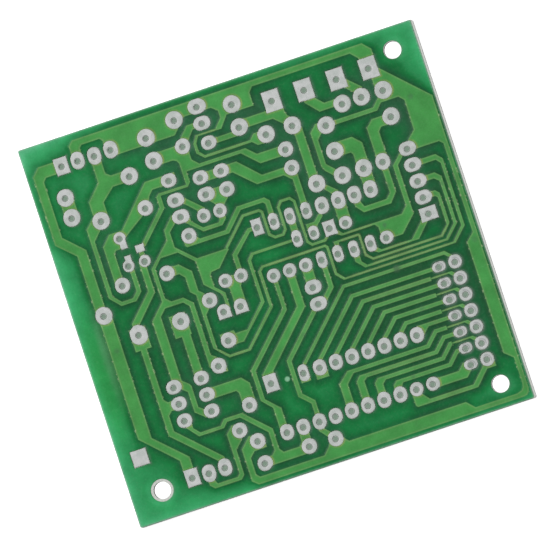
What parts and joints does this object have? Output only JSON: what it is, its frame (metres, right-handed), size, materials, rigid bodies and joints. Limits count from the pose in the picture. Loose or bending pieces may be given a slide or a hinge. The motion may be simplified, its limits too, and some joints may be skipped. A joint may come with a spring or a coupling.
{
  "type": "bare circuit board",
  "caption": "Bare single-sided circuit board: drilled laminate with etched copper tracks, tinned pads, green solder mask and three corner mounting holes.",
  "frame": {"origin": "centre of the underside's bounding rectangle, on the plane that the board lies on", "axes": "+X along the longer edge towards the two-row connector pads, +Y towards the edge with the four large rectangular pads, +Z out of the track side"},
  "size_m": [0.0622, 0.0592, 0.0017],
  "materials": {
    "laminate": "satin glass-epoxy laminate with sawn and drilled edges",
    "solder_mask": "satin green solder mask film",
    "copper": "etched copper foil, seen only under the mask",
    "tin": "dull hot-dipped tinning on the pads"
  },
  "bodies": {
    "root": {"laminate": "laminate", "solder_mask": "solder_mask", "ground_copper": "copper", "left_rail": "copper", "rear_left_link": "copper", "left_loop": "copper", "left_diagonal": "copper", "long_signal": "copper", "left_riser": "copper", "left_elbow": "copper", "relay_feed": "copper", "second_terminal_track": "copper", "third_terminal_track": "copper", "right_loop": "copper", "chip_supply": "copper", "short_diagonal": "copper", "wide_diagonal": "copper", "upper_curve": "copper", "lower_curve": "copper", "connector_outer_track": "copper", "snake_feed": "copper", "chip_jumper": "copper", "wide_bus": "copper", "narrow_bus": "copper", "resistor_link": "copper", "connector_inner_track": "copper", "connector_middle_track": "copper", "connector_first_track": "copper", "front_snake": "copper", "front_left_loop": "copper", "front_link": "copper", "front_return": "copper", "lone_pads": "copper", "bus_track_1": "copper", "bus_track_2": "copper", "bus_track_3": "copper", "bus_track_4": "copper", "bus_track_5": "copper", "bus_track_6": "copper", "bus_track_7": "copper", "bus_track_8": "copper", "fan_track_1": "copper", "fan_track_2": "copper", "fan_track_3": "copper", "fan_track_4": "copper", "ground_tinning": "tin", "left_tinning": "tin", "rear_tinning": "tin", "middle_tinning": "tin", "front_tinning": "tin", "bus_tinning": "tin"}
  },
  "joints": []
}
